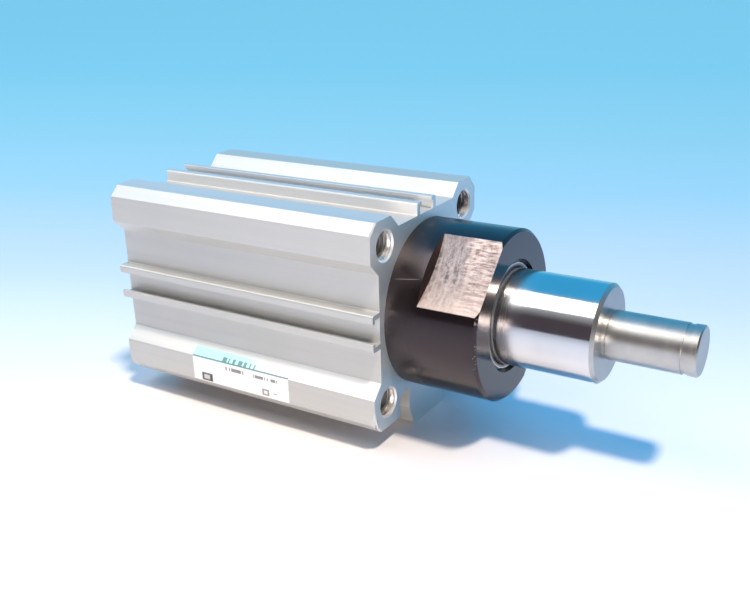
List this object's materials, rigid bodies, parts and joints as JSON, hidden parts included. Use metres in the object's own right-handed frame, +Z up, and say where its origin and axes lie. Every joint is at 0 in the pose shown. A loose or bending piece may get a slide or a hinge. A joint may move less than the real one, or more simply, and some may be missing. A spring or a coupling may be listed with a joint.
{
  "type": "stopper cylinder",
  "caption": "Compact square-bodied pneumatic stopper cylinder with a long screwed rod cover, a chromed round rod that slides in and out, and a grooved end pin.",
  "frame": {"origin": "on the rod's axis at the body's front mounting face", "axes": "+X along the rod towards its pin; +Z up, with the port boss underneath; -Y the side with the label"},
  "size_m": [0.1265, 0.0451, 0.0495],
  "materials": {
    "anodised_aluminium": "satin clear anodised extrusion",
    "black_oxide_steel": "black oxide, turned, with bare milled flats",
    "nitrile": "matt black rubber",
    "sintered_bronze": "dull sintered bronze",
    "scraper_plastic": "pale grey plastic",
    "urethane": "amber urethane",
    "hard_chrome": "ground and hard chromed bar, turned pin",
    "cast_aluminium": "machined casting",
    "wear_plastic": "dark filled plastic",
    "bonded_magnet": "dark bonded ferrite",
    "turned_aluminium": "turned aluminium",
    "plated_steel": "zinc plated steel",
    "spring_steel": "oil-tempered wire",
    "phosphated_steel": "phosphated spring steel",
    "label_film": "printed film, cyan band over a white field, no words"
  },
  "bodies": {
    "barrel": {"body": "anodised_aluminium", "rod_cover": "black_oxide_steel", "rod_cover_gasket": "nitrile", "guide_bush": "sintered_bronze", "rod_seal": "nitrile", "scraper": "scraper_plastic", "front_bumper": "urethane", "rear_bumper": "urethane", "head_cover": "turned_aluminium", "head_cover_gasket": "nitrile", "retaining_ring": "phosphated_steel", "label": "label_film", "return_spring": "spring_steel"},
    "spring_carrier": {"spring_seat": "turned_aluminium"},
    "rod": {"piston_rod": "hard_chrome", "piston": "cast_aluminium", "piston_gasket": "nitrile", "wear_ring": "wear_plastic", "piston_seal": "nitrile", "magnet": "bonded_magnet", "magnet_washer": "turned_aluminium", "piston_nut": "plated_steel"}
  },
  "joints": [
    {"name": "rod_slide", "type": "slide", "parent": "barrel", "child": "spring_carrier", "axis": [1, 0, 0], "range_m": [-0.02, 0], "stiffness_N_per_m": 1400, "springref_m": 0.0095, "deforming": ["return_spring"]},
    {"name": "rod_turn", "type": "hinge", "parent": "spring_carrier", "child": "rod", "pos_m": [0, 0, 0], "axis": [1, 0, 0], "continuous": true}
  ]
}
